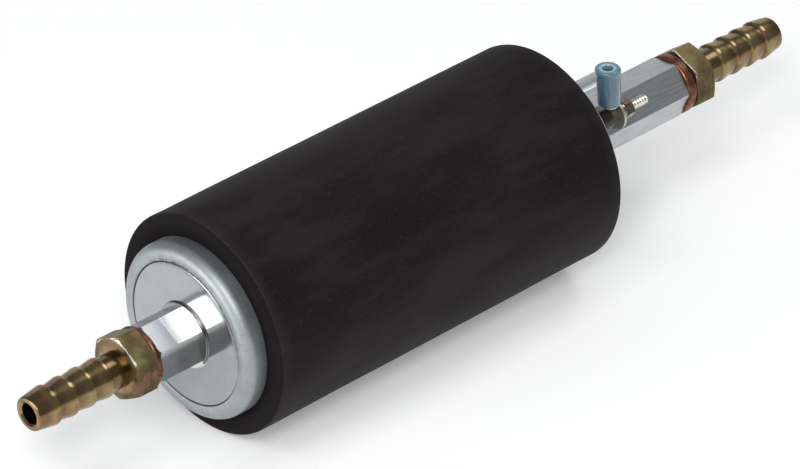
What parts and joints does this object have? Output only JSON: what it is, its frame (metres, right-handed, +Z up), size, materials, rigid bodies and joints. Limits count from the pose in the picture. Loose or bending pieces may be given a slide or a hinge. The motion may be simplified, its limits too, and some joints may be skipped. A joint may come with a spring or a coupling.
{
  "type": "inline electric fuel pump",
  "caption": "Inline electric fuel pump: foam-sleeved rolled case, hexagon bosses, barbed hose tails, terminal stud with crimp terminal, gerotor pump and motor inside",
  "frame": {"origin": "on the pump's axis, in the middle of the foam sleeve", "axes": "+X along the axis from inlet to outlet, +Z up as in the picture, the terminal stud towards -Y and +Z"},
  "size_m": [0.235, 0.054, 0.054],
  "materials": {
    "foam": "matte fine-celled foam",
    "case_metal": "satin, drawn",
    "cover_metal": "satin casting with machined flats",
    "seal_rubber": "smooth moulded",
    "copper": "plain copper",
    "yellow_brass": "yellow passivated",
    "strainer_plastic": "natural moulded",
    "plated_steel": "bright plated",
    "insulator_plastic": "dark brown moulded",
    "tinned_metal": "tinned",
    "blue_sleeve": "translucent blue",
    "pump_steel": "ground",
    "rotor_steel": "sintered",
    "spring_steel": "drawn wire",
    "bearing_bronze": "sintered bronze",
    "core_steel": "stacked sheet",
    "winding_copper": "enamelled wire",
    "magnet_ferrite": "dark ferrite",
    "carrier_plastic": "moulded",
    "carbon": "carbon"
  },
  "bodies": {
    "root": {"foam_sleeve": "foam", "case_tube": "case_metal", "inlet_cover": "cover_metal", "outlet_cover": "cover_metal", "inlet_seal": "seal_rubber", "outlet_seal": "seal_rubber", "inlet_washer": "copper", "outlet_washer": "copper", "inlet_hose_tail": "yellow_brass", "outlet_hose_tail": "yellow_brass", "inlet_strainer": "strainer_plastic", "terminal_stud": "plated_steel", "stud_seal": "seal_rubber", "terminal_insulator": "insulator_plastic", "terminal_base_nut": "plated_steel", "ring_terminal": "tinned_metal", "terminal_sleeve": "blue_sleeve", "terminal_spring_washer": "plated_steel", "terminal_nut": "plated_steel", "earth_screw": "plated_steel", "earth_washer": "plated_steel", "pump_inlet_plate": "pump_steel", "pump_ring": "pump_steel", "pump_outlet_plate": "pump_steel", "pump_screws": "plated_steel", "relief_spring": "spring_steel", "front_bearing": "bearing_bronze", "rear_bearing": "bearing_bronze", "field_ring": "core_steel", "magnets": "magnet_ferrite", "magnet_clips": "spring_steel", "brush_carrier": "carrier_plastic", "brush_boxes": "bearing_bronze", "upper_brush_spring": "spring_steel", "lower_brush_spring": "spring_steel", "positive_lead": "copper", "earth_lead": "copper", "valve_seat": "bearing_bronze", "valve_spring": "spring_steel", "valve_cage": "carrier_plastic"},
    "armature": {"armature_shaft": "plated_steel", "armature_core": "core_steel", "armature_windings": "winding_copper", "commutator_hub": "insulator_plastic", "commutator_segments": "copper", "thrust_washers": "insulator_plastic", "inner_rotor": "rotor_steel"},
    "outer_rotor": {"outer_rotor": "rotor_steel"},
    "relief_ball": {"relief_ball": "plated_steel"},
    "poppet": {"valve_poppet": "carrier_plastic"},
    "upper_brush": {"upper_brush": "carbon"},
    "lower_brush": {"lower_brush": "carbon"}
  },
  "joints": [
    {"name": "armature_spin", "type": "hinge", "parent": "root", "child": "armature", "pos_m": [0, 0, 0], "axis": [1, 0, 0], "continuous": true},
    {"name": "outer_rotor_spin", "type": "hinge", "parent": "root", "child": "outer_rotor", "pos_m": [-0.04, 0, 0.001], "axis": [1, 0, 0], "continuous": true},
    {"name": "relief_open", "type": "slide", "parent": "root", "child": "relief_ball", "axis": [-1, 0, 0], "range_m": [0, 0.0012], "stiffness_N_per_m": 50, "springref_m": -0.0028, "deforming": ["relief_spring"]},
    {"name": "poppet_lift", "type": "slide", "parent": "root", "child": "poppet", "axis": [1, 0, 0], "range_m": [0, 0.0025], "stiffness_N_per_m": 40, "springref_m": -0.003, "deforming": ["valve_spring"]},
    {"name": "upper_brush_slide", "type": "slide", "parent": "root", "child": "upper_brush", "axis": [0, 0, 1], "range_m": [0, 0.001], "stiffness_N_per_m": 60, "springref_m": -0.002, "deforming": ["upper_brush_spring"]},
    {"name": "lower_brush_slide", "type": "slide", "parent": "root", "child": "lower_brush", "axis": [0, 0, -1], "range_m": [0, 0.001], "stiffness_N_per_m": 60, "springref_m": -0.002, "deforming": ["lower_brush_spring"]}
  ],
  "couplings": [
    {"joint": "outer_rotor_spin", "follows": "armature_spin", "ratio": 0.85714}
  ]
}
